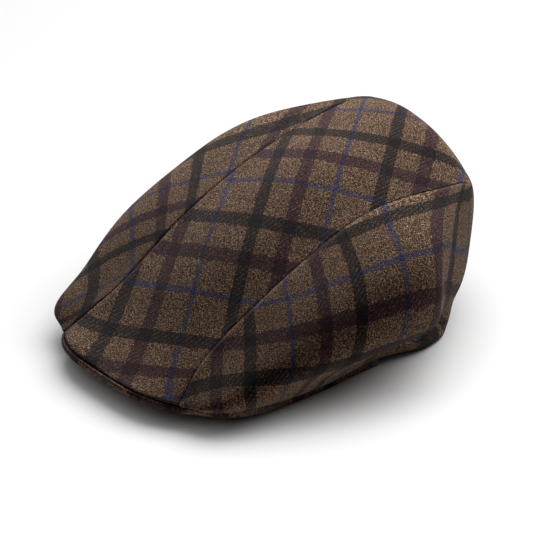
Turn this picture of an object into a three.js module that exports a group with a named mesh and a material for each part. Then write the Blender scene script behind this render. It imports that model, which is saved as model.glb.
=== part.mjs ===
// A flat cap of tweed: a long centre panel, two side panels and a cloth-covered peak.
// Millimetres, +Z up. The peak points to -Y and the wearer's left is +X.
import * as THREE from 'three';
import { mergeVertices } from 'three/addons/utils/BufferGeometryUtils.js';

// Driving dimensions
const capLength = 270;        // front of the crown to the fullest part of the back
const capWidth = 210;         // across the fullest part of the sides
const crownHeight = 112;      // hem to the highest point
const topPanelWidth = 114;    // seam to seam where the centre panel is widest
const openingWidth = 124;     // across the hem at the ears
const clothThickness = 2.2;   // tweed and its backing
const seamGap = 0.5;          // between pieces that are sewn together
const frontBow = 14;          // how far the centre panel's front runs past its corners
const frontArch = 2;          // how far the middle of that front is lifted
const frontRoundness = 3.3;   // power of the front's bow: higher is squarer
const topRoundness = 2.2;     // power of the centre panel's arch across the cap
const seamReach = 12;         // how far the crown is rounded up beside a seam
const seamStand = 20;         // height of the seam above the hem from which it is
const hemStand = 4;           // height over which the hem stands upright
const tuckDepth = 13.5;       // how far the cloth is drawn in above the hem, under the roll
const tuckHeight = 19;        // height of the deepest point of that crease above the hem
const tuckReach = 10.5;       // how far the crease spreads above and below it
const rollDepth = 2.5;        // how far the roll over the crease stands out
const rollHeight = 42;        // height of its crest above the hem
const rollReach = 12;         // how far the roll spreads above and below it
const hemTurn = 6.6;          // height over which the cloth turns level above its edge
const mitreLimit = 0.55;      // least cosine between the cloth's step and its normal
const peakThickness = 4;
const peakDepth = 56;         // front of the crown to the forehead line
const peakRim = 1;            // how far the peak shows past the crown
const peakSeat = 8;           // flat strip of the peak that the crown lies on
const peakPitch = 5;          // rise of the peak from its front to the forehead line
const peakEndDroop = 0.8;     // drop of its inner line where it narrows at the ears
const peakRimDroop = 0.3;     // drop of the rim's upper edge, in peak thicknesses
const peakRimTaper = 0.6;     // how much of the thickness the rim loses
const peakRimReach = 6;       // power that keeps the rim even almost to the ears

// The crown slumps a little to one side, as soft cloth does.
const farLift = 0.1;          // rise of the right side against the left, per mm of width
const farTrail = 0.13;        // lag of the right side towards the back, per mm of width
const leanStart = -0.024;     // where the lean sets in, in cap lengths
const leanEnd = 0.446;        // where it is complete
const leanHeight = 85;        // height from which the lift is complete

// Stations along the half outline, from the corner of the centre panel to the middle of
// the back. Each column is a share of one size. Out values are shares of half widths, rise
// is how far the centre panel arches above its seams, tuck is how deep the crease is, and
// fill is how steeply the crown rises to its seams.
const shares = {
  seamOut: topPanelWidth / 2,
  seamAlong: capLength,
  seamUp: crownHeight,
  rise: crownHeight,
  edgeOut: openingWidth / 2,
  edgeAlong: capLength,
  edgeUp: crownHeight,
  bellyOut: capWidth / 2,
  bellyAlong: capLength,
  shoulder: crownHeight,
  wall: crownHeight,
  tuck: 1,
  fill: 1,
};
const stationRows = [
  // seam: out, along, up, rise   edge: out, along, up   belly: out, along, shoulder, wall, tuck, fill
  [1.00, -0.427, 0.156, 0.000, 0.92, -0.427, 0.156, 0.54, -0.427, 0.00, 0.00, 0.0, 0.30],
  [0.84, -0.309, 0.350, 0.045, 1.24, -0.320, 0.124, 0.79, -0.368, 0.12, 0.08, 0.0, 0.15],
  [0.88, -0.098, 0.650, 0.090, 1.11, -0.120, 0.046, 1.01, -0.131, 0.00, 0.20, 0.4, 0.22],
  [0.90, 0.113, 0.850, 0.107, 1.02, 0.098, 0.056, 1.07, 0.102, -0.04, 0.31, 1.1, 0.26],
  [0.99, 0.345, 0.910, 0.122, 1.04, 0.252, 0.036, 0.89, 0.216, 0.00, 0.42, 0.55, 0.18],
  [0.86, 0.413, 0.870, 0.110, 0.74, 0.352, 0.000, 0.48, 0.415, 0.06, 0.42, 0.12, -0.03],
  [0.00, 0.461, 0.800, 0.000, 0.00, 0.406, 0.000, 0.00, 0.487, 0.12, 0.30, 0.2, 0.1],
];
const columns = Object.keys(shares);
const outColumns = ['seamOut', 'edgeOut', 'bellyOut'];
const lastStation = stationRows.length - 1;
const peakEnd = 3;            // station where the peak runs out

// Sampling
const stepsPerStation = 6;
const panelSteps = 16;        // from the seam down to the hem
const topSteps = 10;          // from the middle of the centre panel to its seam
const tipStart = 0.04;        // a side panel starts this far behind the corner, in stations
const hemCrowding = 1.6;      // power that gathers the rows of a side panel at the hem
const normalStep = 0.02;      // step of the differences that give a normal
const tangentStep = 0.01;     // step of the differences that give a direction along an edge
const smallestArea = 1e-6;    // faces with less area than this are left out
const mergeDistance = 1e-4;

const clamp01 = (value) => THREE.MathUtils.clamp(value, 0, 1);
const smooth = (value) => THREE.MathUtils.smoothstep(value, 0, 1);
const mix = THREE.MathUtils.lerp;
const bump = (value, centre, reach) => Math.exp(-(((value - centre) / reach) ** 2));
const flat = (v) => new THREE.Vector3(v.x, v.y, 0);

// One smooth section between the stations. Past the back it mirrors, so the back is round.
function sectionAt(t) {
  const index = Math.min(Math.floor(t), lastStation - 1);
  const f = t - index;
  const value = (column, row) => {
    const c = columns.indexOf(column);
    if (row < 0) return 2 * stationRows[0][c] - stationRows[1][c];
    if (row <= lastStation) return stationRows[row][c];
    const mirrored = stationRows[2 * lastStation - row][c];
    return outColumns.includes(column) ? -mirrored : mirrored;
  };
  const section = {};
  for (const column of columns) {
    const [a, b, c, d] = [-1, 0, 1, 2].map((k) => value(column, index + k));
    const cubic = (2 * b + (c - a) * f + (2 * a - 5 * b + 4 * c - d) * f * f
      + (3 * b - a - 3 * c + d) * f * f * f) / 2;
    section[column] = cubic * shares[column];
  }
  section.seam = new THREE.Vector3(section.seamOut, section.seamAlong, section.seamUp);
  const edgeUp = Math.max(section.edgeUp, 0);
  section.edge = new THREE.Vector3(section.edgeOut, section.edgeAlong, edgeUp);
  return section;
}

// Level unit vector that points from the lower edge into the cap.
function inwardAt(t) {
  const before = sectionAt(Math.max(t - tangentStep, 0)).edge;
  const after = sectionAt(Math.min(t + tangentStep, lastStation)).edge;
  const along = flat(after).sub(flat(before)).normalize();
  return t >= lastStation ? new THREE.Vector3(0, -1, 0) : new THREE.Vector3(-along.y, along.x, 0);
}

// How far the crown is rounded up at a distance from the seam and a height above the edge.
function roundedUp(s, distance, height) {
  return s.fill * seamReach * smooth(height / seamStand) * Math.exp(-distance / seamReach);
}

// Point on a side panel: w runs from the seam at 0 to the lower edge at 1. Halfway the
// curve passes over the belly. Near the edge it is drawn in, under a roll that stands out.
function sidePoint(t, w) {
  const s = sectionAt(t);
  const belly = new THREE.Vector3(s.bellyOut, s.bellyAlong, 0);
  const control = belly.multiplyScalar(8).sub(flat(s.seam)).sub(flat(s.edge)).divideScalar(6);
  const upper = control.clone().setZ(s.seam.z - s.shoulder);
  const lower = control.clone().setZ(s.edge.z + s.wall);
  const point = new THREE.CubicBezierCurve3(s.seam, upper, lower, s.edge).getPoint(w);
  const height = point.z - s.edge.z;
  point.z += roundedUp(s, point.distanceTo(s.seam), height);
  const crease = tuckDepth * bump(height, tuckHeight, tuckReach);
  const roll = rollDepth * bump(height, rollHeight, rollReach);
  return point.addScaledVector(inwardAt(t), s.tuck * smooth(height / hemStand) * (crease - roll));
}

// Point on the centre panel: u runs from its middle at 0 to the seam at 1.
function topPoint(t, u) {
  const s = sectionAt(t);
  const out = Math.abs(u);
  const front = (1 - out ** frontRoundness) * clamp01(1 - t) ** 2;
  const arch = s.rise * (1 - out ** topRoundness) + frontArch * front;
  return new THREE.Vector3(
    s.seam.x * u,
    s.seam.y - frontBow * front,
    s.seam.z + arch + roundedUp(s, (1 - out) * s.seam.x, s.seam.z - s.edge.z),
  );
}

// The same at the front of the centre panel.
function inwardTop(u) {
  const before = topPoint(0, u - tangentStep);
  const after = topPoint(0, Math.min(u + tangentStep, 1));
  const along = flat(after).sub(flat(before)).normalize();
  return new THREE.Vector3(-along.y, along.x, 0);
}

// Outward normal of a surface at (a, b), from its neighbours.
function normalOf(surface, a, b, aMax, bMin) {
  const ahead = surface(Math.min(a + normalStep, aMax), b);
  const behind = surface(Math.max(a - normalStep, 0), b);
  const below = surface(a, Math.min(b + normalStep, 1));
  const above = surface(a, Math.max(b - normalStep, bMin));
  return below.sub(above).cross(ahead.sub(behind)).normalize();
}
// Both surfaces come to a point at one end, where the normal is taken a little before it.
const pastTip = tipStart + 0.2;
const nearBack = lastStation - 0.05;
const sideNormal = (t, w) => normalOf(sidePoint, Math.max(t, pastTip), w, lastStation, 0);
const topNormal = (t, u) => normalOf(topPoint, Math.min(t, nearBack), u, nearBack, -1);

// Step from the outside of the cloth to its inside. Just above the lower edge it turns
// level, so that the cut edge lies flat on what is under it.
function throughCloth(normal, inward, heightAbove) {
  const turned = smooth(heightAbove / hemTurn);
  const step = normal.clone().multiplyScalar(-turned).addScaledVector(inward, 1 - turned);
  step.normalize();
  return step.multiplyScalar(clothThickness / Math.max(mitreLimit, -step.dot(normal)));
}

// The same step for both panels at their common seam.
function throughSeam(t) {
  const mitre = sideNormal(t, 0).add(topNormal(t, 1)).normalize();
  const s = sectionAt(t);
  return throughCloth(mitre, inwardAt(t), s.seam.z - s.edge.z);
}

// How the settled crown leans.
function settle(point) {
  const back = smooth((point.y / capLength - leanStart) / (leanEnd - leanStart));
  const height = clamp01(point.z / leanHeight);
  return new THREE.Vector3(
    point.x,
    point.y - farTrail * point.x * back,
    point.z - farLift * point.x * back * height,
  );
}

// Closed body between two grids of points with the same rows and columns. The outer
// grid's rows run so that its faces point out.
function closedBody(outer, inner) {
  const corners = [];
  const rows = outer.length - 1;
  const cells = outer[0].length - 1;
  const quad = (a, b, c, d) => {
    for (const triangle of [[a, b, c], [a, c, d]]) {
      const [p, q, r] = triangle;
      const area = q.clone().sub(p).cross(r.clone().sub(p)).length();
      if (area > smallestArea) corners.push(p, q, r);
    }
  };
  for (let i = 0; i < rows; i += 1) {
    for (let j = 0; j < cells; j += 1) {
      quad(outer[i][j], outer[i][j + 1], outer[i + 1][j + 1], outer[i + 1][j]);
      quad(inner[i][j], inner[i + 1][j], inner[i + 1][j + 1], inner[i][j + 1]);
    }
    quad(outer[i][0], outer[i + 1][0], inner[i + 1][0], inner[i][0]);
    quad(outer[i][cells], inner[i][cells], inner[i + 1][cells], outer[i + 1][cells]);
  }
  for (let j = 0; j < cells; j += 1) {
    quad(outer[0][j + 1], outer[0][j], inner[0][j], inner[0][j + 1]);
    quad(outer[rows][j], outer[rows][j + 1], inner[rows][j + 1], inner[rows][j]);
  }
  return mergeVertices(new THREE.BufferGeometry().setFromPoints(corners), mergeDistance);
}

const stationSteps = [0, tipStart];
for (let i = 1; i <= lastStation * stepsPerStation; i += 1) stationSteps.push(i / stepsPerStation);

// side is 1 for the wearer's left and -1 for the right.
function sidePanel(side) {
  const outer = [];
  const inner = [];
  for (const t of stationSteps.slice(1)) {
    const s = sectionAt(t);
    const outerRow = [];
    const innerRow = [];
    for (let j = 0; j <= panelSteps; j += 1) {
      const w = 1 - (1 - j / panelSteps) ** hemCrowding;
      const point = sidePoint(t, w);
      const through = j === 0
        ? throughSeam(t)
        : throughCloth(sideNormal(t, w), inwardAt(t), point.z - s.edge.z);
      if (j === 0) {
        const down = sidePoint(t, normalStep).sub(point).normalize();
        point.addScaledVector(down, seamGap / 2);
      }
      outerRow.push(point);
      innerRow.push(point.clone().add(through));
    }
    outer.push(outerRow);
    inner.push(innerRow);
  }
  const place = (row) => row.map((point) => {
    const clear = Math.max(point.x, seamGap / 2);
    return settle(new THREE.Vector3(side * clear, point.y, point.z));
  });
  const [outerGrid, innerGrid] = [outer.map(place), inner.map(place)];
  return side < 0
    ? closedBody(outerGrid.map((row) => row.reverse()), innerGrid.map((row) => row.reverse()))
    : closedBody(outerGrid, innerGrid);
}

function centrePanel() {
  const outer = [];
  const inner = [];
  for (const t of stationSteps) {
    const outerRow = [];
    const innerRow = [];
    for (let j = -topSteps; j <= topSteps; j += 1) {
      const u = j / topSteps;
      const out = Math.abs(u);
      const point = topPoint(t, u);
      const height = point.z - topPoint(0, out).z;
      const mirror = new THREE.Vector3(Math.sign(u), 1, 1);
      const atSeam = out === 1 || t === lastStation;
      const through = atSeam
        ? throughSeam(t)
        : throughCloth(topNormal(t, out), inwardTop(out), height);
      if (u < 0) through.multiply(mirror);
      if (t === lastStation) {
        point.y -= seamGap / 2;
      } else if (out === 1) {
        const inside = topPoint(t, u * (1 - normalStep)).sub(point).normalize();
        point.addScaledVector(inside, seamGap / 2);
      }
      outerRow.push(point);
      innerRow.push(point.clone().add(through));
    }
    outer.push(outerRow.map(settle));
    inner.push(innerRow.map(settle));
  }
  return closedBody(outer, inner);
}

// Half outline of the crown's lower edge over the peak, from the middle to the peak's end.
function peakStations() {
  const stations = [];
  for (let j = 0; j < topSteps; j += 1) {
    const u = j / topSteps;
    stations.push({ edge: topPoint(0, u), inward: inwardTop(u) });
  }
  for (const t of stationSteps.filter((step) => step <= peakEnd)) {
    stations.push({ edge: sectionAt(t).edge, inward: inwardAt(t) });
  }
  return stations;
}

function peak() {
  const half = peakStations();
  const end = half[half.length - 1].edge;
  const front = half[0].edge;
  const forehead = front.y + peakDepth;
  const crossSections = half.map(({ edge, inward }, i) => {
    const share = i / (half.length - 1);
    const angle = share * Math.PI / 2;
    const seated = edge.clone().setZ(edge.z - seamGap);
    const head = new THREE.Vector3(
      end.x * Math.sin(angle),
      mix(end.y, forehead, Math.cos(angle)),
      seated.z,
    );
    const width = flat(head).distanceTo(flat(edge));
    const rimShare = 1 - share ** peakRimReach;
    const open = clamp01(width / (2 * peakSeat) - 1);
    head.z += peakPitch * Math.cos(angle) * open - peakEndDroop * rimShare * (1 - open);
    const rim = seated.clone().addScaledVector(inward, -peakRim * rimShare);
    rim.z -= peakThickness * peakRimDroop * rimShare;
    const seat = seated.clone().addScaledVector(inward, Math.min(peakSeat, width / 2));
    const middle = seat.clone().lerp(head, 0.5);
    const top = [rim, seated, seat, middle, head];
    const thin = [1 - peakRimTaper * rimShare, 1, 1, 1, 1];
    const bottom = top.map((p, k) => p.clone().setZ(p.z - peakThickness * thin[k]));
    return { top, bottom };
  });
  const mirrored = (points) => points.map((p) => new THREE.Vector3(-p.x, p.y, p.z));
  const across = (key) => {
    const left = crossSections.map((section) => section[key]);
    const right = left.slice(1).reverse().map(mirrored);
    return [...right, ...left].map((row) => row.map(settle).reverse());
  };
  return closedBody(across('top'), across('bottom'));
}

const tweed = (colour) =>
  new THREE.MeshStandardMaterial({ color: colour, roughness: 0.95, metalness: 0 });
const pieces = [
  { name: 'crown_top', geometry: centrePanel(), colour: 0x62513f },
  { name: 'side_left', geometry: sidePanel(1), colour: 0x50402f },
  { name: 'side_right', geometry: sidePanel(-1), colour: 0x53432f },
  { name: 'peak', geometry: peak(), colour: 0x45362b },
];

const cap = new THREE.Group();
for (const piece of pieces) {
  const mesh = new THREE.Mesh(piece.geometry, tweed(piece.colour));
  mesh.name = piece.name;
  cap.add(mesh);
}

// The origin is under the middle of the cap, on the surface that it rests on.
const bounds = new THREE.Box3().setFromObject(cap);
cap.position.y = -(bounds.min.y + bounds.max.y) / 2;
cap.position.z = -bounds.min.z;

export default cap;
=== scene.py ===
# Tweed flat cap: a long centre panel, two side panels and a cloth-covered peak.
import math

import bmesh
import bpy
import numpy as np
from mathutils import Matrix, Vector, noise


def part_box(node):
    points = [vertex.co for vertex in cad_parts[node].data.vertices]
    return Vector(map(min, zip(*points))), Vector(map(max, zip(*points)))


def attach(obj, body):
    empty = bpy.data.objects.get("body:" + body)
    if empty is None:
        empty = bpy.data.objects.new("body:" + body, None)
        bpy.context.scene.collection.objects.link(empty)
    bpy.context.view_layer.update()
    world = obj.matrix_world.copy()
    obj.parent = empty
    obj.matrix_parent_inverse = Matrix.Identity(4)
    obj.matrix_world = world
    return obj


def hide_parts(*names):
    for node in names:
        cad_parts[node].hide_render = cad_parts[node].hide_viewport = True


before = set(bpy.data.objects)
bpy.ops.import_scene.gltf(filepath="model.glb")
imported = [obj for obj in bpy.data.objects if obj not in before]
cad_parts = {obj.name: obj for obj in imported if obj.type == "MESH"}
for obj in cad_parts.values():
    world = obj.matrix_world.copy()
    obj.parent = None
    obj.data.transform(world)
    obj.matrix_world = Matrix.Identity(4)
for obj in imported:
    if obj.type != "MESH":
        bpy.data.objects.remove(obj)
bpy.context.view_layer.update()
print("frame loaded")

# shape of the cap
# Metres, +Z up, the peak points to -Y. The CAD model has the same sizes and shares.
cap = {
    "length": 0.270,
    "width": 0.210,
    "height": 0.112,
    "topWidth": 0.114,
    "openingWidth": 0.124,
    "frontBow": 0.014,
    "frontArch": 0.002,
    "frontRoundness": 3.3,
    "topRoundness": 2.2,
    "lift": 0.1,          # the far side stands higher and lies further back
    "trail": 0.13,
    "leanStart": -0.024,
    "leanEnd": 0.446,
    "leanHeight": 0.085,
    "seamReach": 0.012,   # the crown is rounded up beside its seams
    "seamStand": 0.020,
    "hemStand": 0.004,    # the hem stands upright, with a crease and a roll over it
    "tuckDepth": 0.0135, "tuckHeight": 0.019, "tuckReach": 0.0105,
    "rollDepth": 0.0025, "rollHeight": 0.042, "rollReach": 0.012,
}
shares = {
    "seamOut": cap["topWidth"] / 2,
    "seamAlong": cap["length"],
    "seamUp": cap["height"],
    "rise": cap["height"],
    "edgeOut": cap["openingWidth"] / 2,
    "edgeAlong": cap["length"],
    "edgeUp": cap["height"],
    "bellyOut": cap["width"] / 2,
    "bellyAlong": cap["length"],
    "shoulder": cap["height"],
    "wall": cap["height"],
    "tuck": 1.0,
    "fill": 1.0,
}
# The stations were set, moved by a least-squares fit to the photo, rounded and edited.
stations = np.array([
    # seam: out, along, up, rise   edge: out, along, up   belly: out, along, shoulder, wall
    # then the share of the crease and roll, and of the rounding beside the seam
    [1.00, -0.427, 0.156, 0.000, 0.92, -0.427, 0.156, 0.54, -0.427, 0.00, 0.00, 0.0, 0.30],
    [0.84, -0.309, 0.350, 0.045, 1.24, -0.320, 0.124, 0.79, -0.368, 0.12, 0.08, 0.0, 0.15],
    [0.88, -0.098, 0.650, 0.090, 1.11, -0.120, 0.046, 1.01, -0.131, 0.00, 0.20, 0.4, 0.22],
    [0.90, 0.113, 0.850, 0.107, 1.02, 0.098, 0.056, 1.07, 0.102, -0.04, 0.31, 1.1, 0.26],
    [0.99, 0.345, 0.910, 0.122, 1.04, 0.252, 0.036, 0.89, 0.216, 0.00, 0.42, 0.55, 0.18],
    [0.86, 0.413, 0.870, 0.110, 0.74, 0.352, 0.000, 0.48, 0.415, 0.06, 0.42, 0.12, -0.03],
    [0.00, 0.461, 0.800, 0.000, 0.00, 0.406, 0.000, 0.00, 0.487, 0.12, 0.30, 0.2, 0.1],
])
columns = list(shares)
lastStation = len(stations) - 1


def smooth(x):
    x = np.clip(x, 0, 1)
    return x * x * (3 - 2 * x)


def bump(x, centre, spread):
    return np.exp(-(((x - centre) / spread) ** 2))


def joined(x, y, z):
    return np.stack(np.broadcast_arrays(x, y, z), axis=-1).astype(float)


# Smooth section between the stations. Past the back it mirrors, so the back is round.
def sectionAt(t):
    t = np.asarray(t, dtype=float)
    mirrored = stations[-2].copy()
    for column in ("seamOut", "edgeOut", "bellyOut"):
        mirrored[columns.index(column)] *= -1
    rows = np.vstack([2 * stations[0] - stations[1], stations, mirrored])
    index = np.clip(np.floor(t).astype(int), 0, lastStation - 1)
    f = (t - index)[..., None]
    a, b, c, d = (rows[index + k] for k in range(4))
    cubic = 2 * b + (c - a) * f + (2 * a - 5 * b + 4 * c - d) * f**2
    cubic = (cubic + (3 * b - a - 3 * c + d) * f**3) / 2
    section = {name: cubic[..., k] * shares[name] for k, name in enumerate(columns)}
    section["edgeUp"] = np.maximum(section["edgeUp"], 0)
    return section


# Level unit vector from the lower edge into the cap.
def inwardAt(t):
    step = 0.01
    ahead = sectionAt(np.minimum(t + step, lastStation))
    behind = sectionAt(np.maximum(t - step, 0))
    x = ahead["edgeOut"] - behind["edgeOut"]
    y = ahead["edgeAlong"] - behind["edgeAlong"]
    size = np.hypot(x, y)
    return joined(-y / size, x / size, 0)


# How far the crown is rounded up at a distance from the seam and a height above the edge.
def roundedUp(s, distance, height):
    share = smooth(height / cap["seamStand"])
    return s["fill"] * cap["seamReach"] * share * np.exp(-distance / cap["seamReach"])


# Side panel: w is 0 at the seam and 1 at the lower edge.
def sideSurface(t, w):
    s = sectionAt(t)
    controlX = (8 * s["bellyOut"] - s["seamOut"] - s["edgeOut"]) / 6
    controlY = (8 * s["bellyAlong"] - s["seamAlong"] - s["edgeAlong"]) / 6
    seam = joined(s["seamOut"], s["seamAlong"], s["seamUp"])
    edge = joined(s["edgeOut"], s["edgeAlong"], s["edgeUp"])
    upper = joined(controlX, controlY, s["seamUp"] - s["shoulder"])
    lower = joined(controlX, controlY, s["edgeUp"] + s["wall"])
    w = np.asarray(w, dtype=float)[..., None]
    v = 1 - w
    points = v**3 * seam + 3 * v**2 * w * upper + 3 * v * w**2 * lower + w**3 * edge
    height = points[..., 2] - s["edgeUp"]
    fromSeam = np.linalg.norm(points - seam, axis=-1)
    points = points + joined(0, 0, roundedUp(s, fromSeam, height))
    crease = cap["tuckDepth"] * bump(height, cap["tuckHeight"], cap["tuckReach"])
    roll = cap["rollDepth"] * bump(height, cap["rollHeight"], cap["rollReach"])
    drawn = s["tuck"] * smooth(height / cap["hemStand"]) * (crease - roll)
    return points + inwardAt(t) * drawn[..., None]


# Centre panel: u is 0 in its middle and 1 at a seam.
def topSurface(t, u):
    s = sectionAt(t)
    out = np.abs(u)
    front = (1 - out ** cap["frontRoundness"]) * np.clip(1 - t, 0, 1) ** 2
    x = s["seamOut"] * u
    y = s["seamAlong"] - cap["frontBow"] * front
    z = s["seamUp"] + s["rise"] * (1 - out ** cap["topRoundness"])
    z = z + roundedUp(s, (1 - out) * s["seamOut"], s["seamUp"] - s["edgeUp"])
    return joined(x, y, z + cap["frontArch"] * front)


# The settled crown leans a little to one side.
def settled(points):
    x, y, z = np.moveaxis(points, -1, 0)
    reach = cap["leanEnd"] - cap["leanStart"]
    back = smooth((y / cap["length"] - cap["leanStart"]) / reach)
    height = np.clip(z / cap["leanHeight"], 0, 1)
    return joined(x, y - cap["trail"] * x * back, z - cap["lift"] * x * back * height)


# pieces in Blender
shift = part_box("crown_top")[0][1] - float(settled(topSurface(0.0, 0.0))[1])
cloth = {"thickness": 0.0016, "seamGap": 0.00005, "merge": 1e-6, "sliver": 1e-7}


def grids(rows, cells):
    return np.meshgrid(np.linspace(0, 1, rows + 1), np.linspace(0, 1, cells + 1), indexing="ij")


# Outward normals of a lattice of points, from its neighbours.
def latticeNormals(points, inside):
    along = np.gradient(points, axis=0)
    across = np.gradient(points, axis=1)
    normal = np.cross(along, across)
    size = np.linalg.norm(normal, axis=-1, keepdims=True)
    normal = normal / np.maximum(size, 1e-12)
    away = np.sum((points - inside) * normal, axis=-1, keepdims=True)
    return normal * np.sign(away)


# Lengths along both directions of a lattice, from its first row and column.
def latticeLengths(points):
    along = np.linalg.norm(np.diff(points, axis=0), axis=-1)
    across = np.linalg.norm(np.diff(points, axis=1), axis=-1)
    down = np.vstack([np.zeros((1, along.shape[1])), np.cumsum(along, axis=0)])
    over = np.hstack([np.zeros((across.shape[0], 1)), np.cumsum(across, axis=1)])
    return down, over


# Makes an object of a bmesh and puts it in the scene.
def objectOf(bm, name):
    mesh = bpy.data.meshes.new(name)
    bm.to_mesh(mesh)
    bm.free()
    made = bpy.data.objects.new(name, mesh)
    bpy.context.collection.objects.link(made)
    return made


# A sheet of cloth: a grid whose corners are moved to the lattice, with its threads as UVs.
def clothSheet(name, points, threads, outwards):
    rows, cells = points.shape[0] - 1, points.shape[1] - 1
    bm = bmesh.new()
    bmesh.ops.create_grid(bm, x_segments=rows, y_segments=cells, size=0.5)
    uvLayer = bm.loops.layers.uv.new("threads")
    place = {}
    for vertex in bm.verts:
        i = round((vertex.co.x + 0.5) * rows)
        j = round((vertex.co.y + 0.5) * cells)
        place[vertex] = (i, j)
    for face in bm.faces:
        for loop in face.loops:
            loop[uvLayer].uv = threads[place[loop.vert]]
    for vertex, lattice in place.items():
        vertex.co = points[lattice]
    bmesh.ops.remove_doubles(bm, verts=bm.verts, dist=cloth["merge"])
    bmesh.ops.dissolve_degenerate(bm, edges=bm.edges, dist=cloth["sliver"])
    bm.normal_update()
    middle = points[rows // 2, cells // 2]
    nearest = min(bm.faces, key=lambda face: (face.calc_center_median() - Vector(middle)).length)
    if nearest.normal.dot(Vector(outwards[rows // 2, cells // 2])) < 0:
        bmesh.ops.reverse_faces(bm, faces=bm.faces)
    for face in bm.faces:
        face.smooth = True
    piece = objectOf(bm, name)
    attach(piece, "root")
    return piece


def thicken(piece, thickness):
    wall = piece.modifiers.new("wall", "SOLIDIFY")
    wall.thickness = thickness
    wall.offset = -1
    wall.use_even_offset = False
    wall.use_rim = True


# Square of a length. Past its end it goes on straight.
def bend(length, end):
    return np.where(length < end, length**2, end * (2 * length - end))


# Repeats of the check from a panel's start, by the lengths along and across it.
def threadCount(rates, along, across):
    near = np.minimum(along, rates["end"])
    count = rates["start"] + rates["along"] * along + rates["across"] * across
    count = count + rates["twist"] * near * across
    count = count + rates["turn"] * near**2 * across
    count = count + rates["alongBend"] * bend(along, rates["end"])
    return count + rates["acrossBend"] * across**2


def threadsOf(lines, along, across):
    return np.stack([threadCount(lines[way], along, across) for way in ("warp", "weft")], -1)


# Soft, irregular swelling of the cloth.
def swelling(points, size, seed):
    flat = points.reshape(-1, 3)
    origin = Vector([seed * step for step in panel["swellStep"]])
    values = [noise.noise(Vector(p) / size + origin) for p in flat]
    return np.array(values).reshape(points.shape[:-1])


# sewn panels
panel = {
    "topRows": 190, "topCells": 96,
    "sideRows": 210, "sideCells": 96,
    "seamDip": 0.0003, "seamReach": 0.0011,
    "seamPuff": 0.0002, "puffAt": 0.004, "puffReach": 0.003,
    "swell": 0.0011, "swellSize": 0.045,
    "edgeRoll": 0.0015,
    "seamFades": (0.8, 2.2), "fadedSeam": 0.25,
    "swellStep": (7.3, 3.1, 5.7),         # moves the swelling on from panel to panel
    "frontEase": 0.006, "seamEase": 0.010, "hemEase": 0.012,   # no swelling at the borders
    "gapReach": 0.002,
    "topInside": (0, 0, 0.03), "sideInside": (0, 0, 0.04),     # points under the cloth
    "sideStart": 0.04,                    # station of a side panel's tip
    "rowCrowding": 1.5,                   # more cells near the seam
    "threadRow": 0.35,                    # row along which the length is measured
    "peakStops": 3.1, "peakFade": 0.4,    # the cloth turns in over the peak up to this station
}

# These come from a least-squares fit to the plaid's lines in the photo, rounded.
checkLines = {
    "centre": {
        "warp": {"start": -0.111, "along": -5.11, "across": -9.43, "twist": -24, "turn": 98.9,
                 "alongBend": -11.1, "acrossBend": 3.2, "end": 9.0},
        "weft": {"start": 0.615, "along": 11.0, "across": -4.7, "twist": 28.5, "turn": -163,
                 "alongBend": -1.0, "acrossBend": -23.2, "end": 9.0},
    },
    "left": {
        "warp": {"start": -0.694, "along": 10.8, "across": 1.27, "twist": 79.7, "turn": -362,
                 "alongBend": 5.6, "acrossBend": -5.7, "end": 0.40},
        "weft": {"start": 1.073, "along": -12.2, "across": 10.4, "twist": 13.2, "turn": -51.8,
                 "alongBend": 30.6, "acrossBend": 0.6, "end": 0.40},
    },
    "right": {
        "warp": {"start": -0.095, "along": 10.9, "across": -15.5, "twist": -2.7, "turn": 39.9,
                 "alongBend": -1.1, "acrossBend": 62, "end": 0.40},
        "weft": {"start": 1.942, "along": -12.9, "across": -10.2, "twist": 24.5, "turn": -41,
                 "alongBend": 14.8, "acrossBend": 8.6, "end": 0.40},
    },
}


def seamRelief(distance, t):
    dip = -panel["seamDip"] * bump(distance, 0, panel["seamReach"])
    relief = dip + panel["seamPuff"] * bump(distance, panel["puffAt"], panel["puffReach"])
    begin, end = panel["seamFades"]
    return relief * (1 - (1 - panel["fadedSeam"]) * smooth((t - begin) / (end - begin)))


# The cloth turns in over the peak like a quarter of a circle.
def rolledIn(height):
    r = panel["edgeRoll"]
    short = np.clip(r - height, 0, r)
    return r - np.sqrt(r**2 - short**2)


def centrePanel():
    a, b = grids(panel["topRows"], panel["topCells"])
    t, u = a * lastStation, 2 * b - 1
    points = topSurface(t, u)
    down, over = latticeLengths(points)
    middle = points.shape[1] // 2
    across = over - over[:, [middle]]
    along = down[:, [middle]] + 0 * across
    half = over[:, [-1]] / 2
    normal = latticeNormals(points, np.array(panel["topInside"]))
    fromSeam = half - np.abs(across)
    ease = smooth(down / panel["frontEase"])
    swell = panel["swell"] * ease * smooth(fromSeam / panel["seamEase"])
    relief = seamRelief(fromSeam, t) + swell * swelling(points, panel["swellSize"], 1)
    inward = joined(0 * u, 1 + 0 * u, 0 * u)
    points = points + normal * relief[..., None] + inward * rolledIn(down)[..., None]
    near = smooth(1 - fromSeam / panel["gapReach"])[..., None] * cloth["seamGap"] / 2
    points = points - near * joined(np.sign(u), 0 * u, 0 * u)
    threads = threadsOf(checkLines["centre"], along, across)
    points = settled(points) + [0, shift, 0]
    piece = clothSheet("centre_panel", points, threads, normal)
    thicken(piece, cloth["thickness"])
    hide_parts("crown_top")
    return piece


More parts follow.
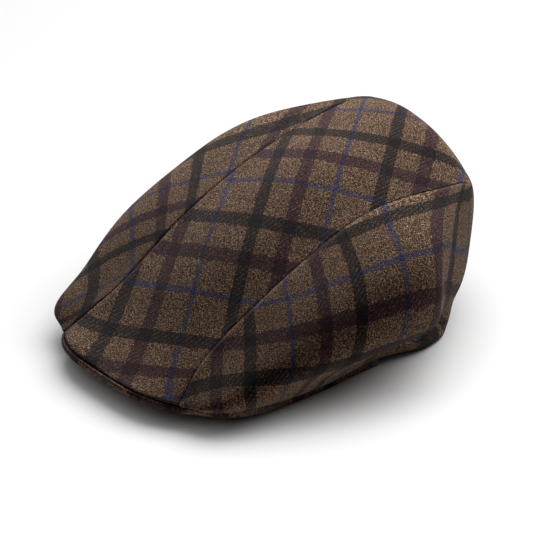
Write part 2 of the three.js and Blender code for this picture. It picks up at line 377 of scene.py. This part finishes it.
def sidePanel(side, name, node, seed, lines):
    a, b = grids(panel["sideRows"], panel["sideCells"])
    t = panel["sideStart"] + (lastStation - panel["sideStart"]) * a
    w = 1 - (1 - b) ** panel["rowCrowding"]
    points = sideSurface(t, w)
    down, over = latticeLengths(points)
    reference = int(round(panel["threadRow"] * panel["sideCells"]))
    along = down[:, [reference]] + 0 * over
    normal = latticeNormals(points, np.array(panel["sideInside"]))
    fromEdge = over[:, [-1]] - over
    overPeak = smooth((panel["peakStops"] - t) / panel["peakFade"])
    drawn = overPeak * rolledIn(fromEdge)
    ease = smooth(over / panel["seamEase"]) * smooth(fromEdge / panel["hemEase"])
    swell = panel["swell"] * ease
    relief = seamRelief(over, t) + swell * swelling(points, panel["swellSize"], seed)
    points = points + normal * relief[..., None] + inwardAt(t) * drawn[..., None]
    near = smooth(1 - over / panel["gapReach"])[..., None] * cloth["seamGap"] / 2
    points = points + near * joined(1 + 0 * t, 0 * t, 0 * t)
    points[..., 0] = np.maximum(points[..., 0], cloth["seamGap"] / 2)
    threads = threadsOf(lines, along, over)
    mirror = np.array([side, 1, 1])
    points = settled(points * mirror) + [0, shift, 0]
    piece = clothSheet(name, points, threads, normal * mirror)
    thicken(piece, cloth["thickness"])
    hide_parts(node)
    return piece


# peak
peak = {
    "rows": 180, "round": 10,
    "thickness": 0.004, "depth": 0.056, "rim": 0.0008, "seat": 0.008, "pitch": 0.005,
    "gap": 0.0004, "lastStation": 3.0, "taper": 6, "droop": 0.0008,
    "checkPitch": 11.8, "warpStart": 0.35, "warpSlant": 1.5, "slantFrom": 0.1, "weftStart": 4.15,
    "rimRow": 3,          # the ring's point on the outline, where the rim begins
}


def peakPiece():
    n = peak["rows"] // 2
    frontU = np.linspace(0, 1, n // 2 + 1)[:-1]
    sideT = np.linspace(0.0, peak["lastStation"], n // 2 + n % 2 + 1)
    front = topSurface(0 * frontU, frontU)
    edge = sectionAt(sideT)
    sideEdge = joined(edge["edgeOut"], edge["edgeAlong"], edge["edgeUp"])
    half = np.vstack([front, sideEdge])
    # even steps along the half outline
    steps = np.linalg.norm(np.diff(half, axis=0), axis=-1)
    length = np.concatenate([[0], np.cumsum(steps)])
    even = np.linspace(0, length[-1], n + 1)
    half = np.stack([np.interp(even, length, half[:, k]) for k in range(3)], -1)
    tangent = np.gradient(half, axis=0)
    size = np.hypot(tangent[:, 0], tangent[:, 1])
    inward = joined(-tangent[:, 1] / size, tangent[:, 0] / size, 0)
    inward[0] = (0, 1, 0)
    share = even / even[-1]
    angle = share * math.pi / 2
    rimShare = 1 - share ** peak["taper"]
    end, first = half[-1], half[0]
    seated = half - [0, 0, peak["gap"]]
    head = joined(end[0] * np.sin(angle),
                  end[1] + (first[1] + peak["depth"] - end[1]) * np.cos(angle), seated[:, 2])
    width = np.linalg.norm((head - half)[:, :2], axis=-1)
    opened = np.clip(width / (2 * peak["seat"]) - 1, 0, 1)
    head[:, 2] += peak["pitch"] * np.cos(angle) * opened
    head[:, 2] -= peak["droop"] * rimShare * (1 - opened)
    seat = seated + inward * np.minimum(peak["seat"], width / 2)[:, None]
    up = np.array([0, 0, 1.0])
    ring = [head, (seat + head) / 2, seat, seated]
    for k in range(1, peak["round"]):
        turn = math.pi * k / peak["round"]
        outStep = -peak["rim"] * math.sin(turn) * rimShare
        drop = peak["thickness"] * (1 - math.cos(turn)) / 2
        ring.append(seated + inward * outStep[:, None] - up * drop)
    low = up * peak["thickness"]
    ring += [seated - low, seat - low, (seat + head) / 2 - low, head - low, head]
    section = np.stack(ring, axis=1)
    mirrored = section[1:][::-1] * [-1, 1, 1]
    points = np.concatenate([mirrored, section], axis=0)
    middle = points.mean(axis=1, keepdims=True)
    normal = points - middle
    # the cover's threads run on over the rim, as if it were unrolled outwards
    outward = np.concatenate([(-inward)[1:][::-1] * [-1, 1, 1], -inward], axis=0)
    rimRow = peak["rimRow"]
    around = latticeLengths(points)[1]
    past = np.maximum(around - around[:, [rimRow]], 0)[..., None]
    onRim = (np.arange(points.shape[1]) > rimRow)[None, :, None]
    unrolled = np.where(onRim, points[:, [rimRow]] + outward[:, None] * past, points)
    x, y = unrolled[..., 0], unrolled[..., 1]
    warp = peak["warpStart"] + peak["checkPitch"] * x + peak["warpSlant"] * (y + peak["slantFrom"])
    weft = peak["weftStart"] + peak["checkPitch"] * y
    threads = np.stack([warp, weft], -1)
    points = settled(points) + [0, shift, 0]
    piece = clothSheet("peak_cover", points, threads, normal)
    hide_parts("peak")
    return piece


print("peak and panels")
peakCover = peakPiece()
centre = centrePanel()
left = sidePanel(1, "left_panel", "side_left", 2, checkLines["left"])
right = sidePanel(-1, "right_panel", "side_right", 3, checkLines["right"])


# materials
# Wraps a socket, so that maths on values adds Math nodes.
class Value:
    def __init__(self, maker, socket):
        self.maker = maker
        self.socket = socket

    def combine(self, operation, *others):
        return self.maker.math(operation, self, *others)

    def __add__(self, other):
        return self.combine("ADD", other)

    def __sub__(self, other):
        return self.combine("SUBTRACT", other)

    def __mul__(self, other):
        return self.combine("MULTIPLY", other)

    def __truediv__(self, other):
        return self.combine("DIVIDE", other)

    def __rsub__(self, other):
        return self.maker.math("SUBTRACT", other, self)

    __radd__ = __add__
    __rmul__ = __mul__


class Maker:
    def __init__(self, name):
        self.material = bpy.data.materials.new(name)
        self.material.use_nodes = True
        self.tree = self.material.node_tree
        self.tree.nodes.clear()

    # Any node: its settings first, then the values or links of its sockets.
    def node(self, kind, settings=None, sockets=None):
        made = self.tree.nodes.new(kind)
        for key, value in (settings or {}).items():
            setattr(made, key, value)
        for key, value in (sockets or {}).items():
            socket = made.inputs[key]
            if isinstance(value, Value):
                self.tree.links.new(value.socket, socket)
            elif isinstance(value, bpy.types.NodeSocket):
                self.tree.links.new(value, socket)
            else:
                socket.default_value = value
        return made

    def math(self, operation, *values):
        made = self.node("ShaderNodeMath", {"operation": operation}, dict(enumerate(values)))
        return Value(self, made.outputs[0])

    def mixed(self, share, first, second, blend="MIX"):
        made = self.node("ShaderNodeMix", {"data_type": "RGBA", "blend_type": blend},
                         {0: share, 6: first, 7: second})
        return made.outputs[2]

    def noise(self, vector, scale, detail=2.0, roughness=0.5):
        made = self.node("ShaderNodeTexNoise", {},
                         {"Vector": vector, "Scale": scale, "Detail": detail, "Roughness": roughness})
        return Value(self, made.outputs["Fac"])

    def ramp(self, value, stops):
        made = self.node("ShaderNodeValToRGB", {}, {"Fac": value})
        elements = made.color_ramp.elements
        while len(elements) > 1:
            elements.remove(elements[-1])
        for position, colour in stops:
            element = elements[0] if position == stops[0][0] else elements.new(position)
            element.position = position
            element.color = (*colour, 1)
        return made.outputs["Color"]


tweed = {
    "sett": 84,            # threads in one repeat of the check
    "twill": 4.0, "twillOver": 1.5,
    "bands": [             # place and width in a sett, cover, shade of what crosses it, colour
        (0.690, 0.115, 0.90, 0.48, (0.020, 0.006, 0.016)),
        (0.385, 0.042, 0.80, 0.75, (0.016, 0.030, 0.100)),
        (0.000, 0.112, 0.95, 0.40, (0.0022, 0.0026, 0.0050)),
    ],
    "heather": [(0.27, (0.004, 0.002, 0.0012)), (0.43, (0.027, 0.0135, 0.0085)),
                (0.55, (0.086, 0.046, 0.027)), (0.70, (0.34, 0.217, 0.135))],
    "fibre": 1.3, "grain": 1.9, "grainShare": 0.45, "contrast": 2.1,
    "fibreStretch": 0.4,   # fibres are longer along their thread
    "bandDark": 0.4, "bandPale": 1.8, "crossGrey": 0.7,
    "wobble": 0.014, "wobbleScale": 9.0, "ragged": 0.016, "raggedScale": 0.35,
    "hair": (0.16, 0.10, 0.055), "hairScale": 0.55, "hairWidth": 0.035, "hairCover": 0.22,
    "hairTwist": 1.2, "hairHeight": 0.3, "threadHeight": 0.2,
    "patchScale": 12.0, "patchDepth": 0.45,
    "bump": 0.7, "bumpDepth": 0.0012,
    "roughness": 0.95, "gloss": 0.06, "sheen": 0.06, "sheenRoughness": 0.3,
}


def tweedMaterial(name):
    m = Maker(name)
    sett = tweed["sett"]
    uv = m.node("ShaderNodeUVMap", {"uv_map": "threads"}).outputs["UV"]
    wobble = m.node("ShaderNodeTexNoise", {},
                    {"Vector": uv, "Scale": tweed["wobbleScale"], "Detail": 2.0})
    push = (tweed["wobble"], tweed["wobble"], 0)
    shifted = m.node("ShaderNodeVectorMath", {"operation": "MULTIPLY_ADD"},
                     {0: wobble.outputs["Color"], 1: push, 2: uv}).outputs[0]
    split = m.node("ShaderNodeSeparateXYZ", {}, {0: shifted})
    warp = Value(m, split.outputs["X"])
    weft = Value(m, split.outputs["Y"])
    warpIndex = m.math("FLOOR", warp * sett)
    weftIndex = m.math("FLOOR", weft * sett)
    turn = m.math("FLOORED_MODULO", warpIndex + weftIndex, tweed["twill"])
    warpOnTop = m.math("LESS_THAN", turn, tweed["twillOver"])
    grain = m.noise(shifted, sett * tweed["grain"], 1.0, 0.5)

    # fibres run along their thread
    def fibres(alongX, alongY):
        stretched = m.node("ShaderNodeVectorMath", {"operation": "MULTIPLY"},
                           {0: shifted, 1: (alongX, alongY, 1)}).outputs[0]
        fibre = m.noise(stretched, sett * tweed["fibre"], 1.5, 0.6)
        both = fibre * (1 - tweed["grainShare"]) + grain * tweed["grainShare"]
        return (both - 0.5) * tweed["contrast"] + 0.5

    warpFibres = fibres(1.0, tweed["fibreStretch"])
    weftFibres = fibres(tweed["fibreStretch"], 1.0)

    # the edges of a band are ragged
    ragged = m.noise(shifted, sett * tweed["raggedScale"], 1.0, 0.6)
    raggedStep = (ragged - 0.5) * tweed["ragged"] * 2

    # how far a thread is from the band's middle, counted round the repeat
    def bandMask(index, band):
        away = m.math("ABSOLUTE", m.math("WRAP", index / sett + raggedStep - band[0], 0.5, -0.5))
        return m.math("LESS_THAN", away, band[1] / 2)

    def threadColour(index, fibre):
        base = m.ramp(fibre, tweed["heather"])
        for band in tweed["bands"]:
            dark = [c * tweed["bandDark"] for c in band[4]]
            pale = [c * tweed["bandPale"] for c in band[4]]
            varied = m.mixed(fibre, (*dark, 1), (*pale, 1))
            base = m.mixed(bandMask(index, band) * band[2], base, varied)
        return base

    weftColour = threadColour(weftIndex, weftFibres)
    warpColour = threadColour(warpIndex, warpFibres)
    colour = m.mixed(warpOnTop, weftColour, warpColour)
    # a band also shades the threads that cross it
    for index, onTop in ((warpIndex, 1 - warpOnTop), (weftIndex, warpOnTop)):
        for band in tweed["bands"]:
            grey, strongest = tweed["crossGrey"], max(band[4])
            tint = [band[3] * (grey + (1 - grey) * c / strongest) for c in band[4]]
            shaded = m.mixed(1.0, colour, (*tint, 1), "MULTIPLY")
            colour = m.mixed(bandMask(index, band) * onTop, colour, shaded)
    # loose hairs lie over everything
    tangle = m.node("ShaderNodeTexNoise", {},
                    {"Vector": shifted, "Scale": sett * tweed["hairScale"],
                     "Detail": 2.0, "Distortion": tweed["hairTwist"]})
    line = m.math("ABSOLUTE", Value(m, tangle.outputs["Fac"]) - 0.5)
    hair = m.math("LESS_THAN", line, tweed["hairWidth"])
    colour = m.mixed(hair * tweed["hairCover"] * grain, colour, (*tweed["hair"], 1))
    patches = m.noise(uv, tweed["patchScale"], 3.0)
    shade = m.math("MULTIPLY_ADD", patches, tweed["patchDepth"], 1 - tweed["patchDepth"] / 2)
    patchShade = m.node("ShaderNodeCombineColor", {}, {0: shade, 1: shade, 2: shade}).outputs[0]
    colour = m.mixed(1.0, colour, patchShade, "MULTIPLY")
    # each thread is round
    warpRound = m.math("SINE", warp * (sett * 2 * math.pi))
    weftRound = m.math("SINE", weft * (sett * 2 * math.pi))
    warpHeight = warpFibres + warpRound * tweed["threadHeight"]
    weftHeight = weftFibres + weftRound * tweed["threadHeight"]
    height = warpOnTop * warpHeight + (1 - warpOnTop) * weftHeight
    relief = m.node("ShaderNodeBump", {}, {
        "Strength": tweed["bump"], "Distance": tweed["bumpDepth"],
        "Height": height + hair * tweed["hairHeight"],
    })
    surface = m.node("ShaderNodeBsdfPrincipled", {}, {
        "Base Color": colour, "Roughness": tweed["roughness"], "Normal": relief.outputs[0],
        "Specular IOR Level": tweed["gloss"],
        "Sheen Weight": tweed["sheen"], "Sheen Roughness": tweed["sheenRoughness"],
    })
    m.node("ShaderNodeOutputMaterial", {}, {"Surface": surface.outputs[0]})
    return m.material


print("tweed")
tweedCloth = tweedMaterial("brown_plaid_tweed")
for piece in (centre, left, right, peakCover):
    piece.data.materials.append(tweedCloth)

# floor, light and camera
print("studio")
studio = {
    "floorSide": 8.0, "floorColour": (0.9, 0.9, 0.9, 1), "floorRoughness": 0.9, "worldLight": 0.02,
    "azimuth": 52.95, "elevation": 26.89, "distance": 3.18,
    "aim": (-0.0012, -0.0025, 0.0434), "pixelsPerMetre": 1697, "imageSide": 550, "sensor": 36,
}
bm = bmesh.new()
bmesh.ops.create_grid(bm, x_segments=1, y_segments=1, size=studio["floorSide"] / 2)
floor = objectOf(bm, "floor")
white = Maker("white_floor")
paper = white.node("ShaderNodeBsdfPrincipled", {}, {
    "Base Color": studio["floorColour"], "Roughness": studio["floorRoughness"],
    "Specular IOR Level": 0.0,
})
white.node("ShaderNodeOutputMaterial", {}, {"Surface": paper.outputs[0]})
floor.data.materials.append(white.material)


# Azimuth 0 is in front of the cap and 90 at its left.
def directionOf(azimuth, elevation):
    turn, rise = math.radians(azimuth), math.radians(elevation)
    level = math.cos(rise)
    return Vector((math.sin(turn) * level, -math.cos(turn) * level, math.sin(rise)))


# A round lamp that shines on one collection.
def lamp(name, azimuth, elevation, distance, size, strength, shinesOn):
    towards = directionOf(azimuth, elevation)
    data = bpy.data.lights.new(name, "AREA")
    data.shape = "DISK"
    data.size = size
    data.energy = strength * math.pi**2 * distance**2
    made = bpy.data.objects.new(name, data)
    made.location = towards * distance
    made.rotation_euler = towards.to_track_quat("Z", "Y").to_euler()
    bpy.context.collection.objects.link(made)
    made.light_linking.receiver_collection = shinesOn


capOnly = bpy.data.collections.new("cap_only")
for piece in (centre, left, right, peakCover):
    capOnly.objects.link(piece)
floorOnly = bpy.data.collections.new("floor_only")
floorOnly.objects.link(floor)
lamps = {  # azimuth, elevation, distance, size, strength
    "far_window": (-138, 41, 2.2, 1.4, 3.15, capOnly),
    "back_edge": (172, 34, 2.0, 0.9, 0.55, capOnly),
    "overhead": (165, 68, 1.7, 2.6, 1.5, floorOnly),
    "floor_fill": (40, 62, 2.4, 3.2, 0.5, floorOnly),
}
for lampName, settings in lamps.items():
    lamp(lampName, *settings)
world = bpy.data.worlds.new("studio")
bpy.context.scene.world = world
world.use_nodes = True
background = world.node_tree.nodes["Background"]
background.inputs["Color"].default_value = (1, 1, 1, 1)
background.inputs["Strength"].default_value = studio["worldLight"]

direction = directionOf(studio["azimuth"], studio["elevation"])
cameraData = bpy.data.cameras.new("camera")
cameraData.sensor_width = studio["sensor"]
seen = studio["imageSide"] / studio["pixelsPerMetre"]
cameraData.lens = studio["sensor"] * studio["distance"] / seen
camera = bpy.data.objects.new("camera", cameraData)
camera.location = Vector(studio["aim"]) + direction * studio["distance"]
camera.rotation_euler = (-direction).to_track_quat("-Z", "Y").to_euler()
bpy.context.collection.objects.link(camera)
bpy.context.scene.camera = camera
bpy.context.scene.view_settings.view_transform = "Standard"

print("finishing")
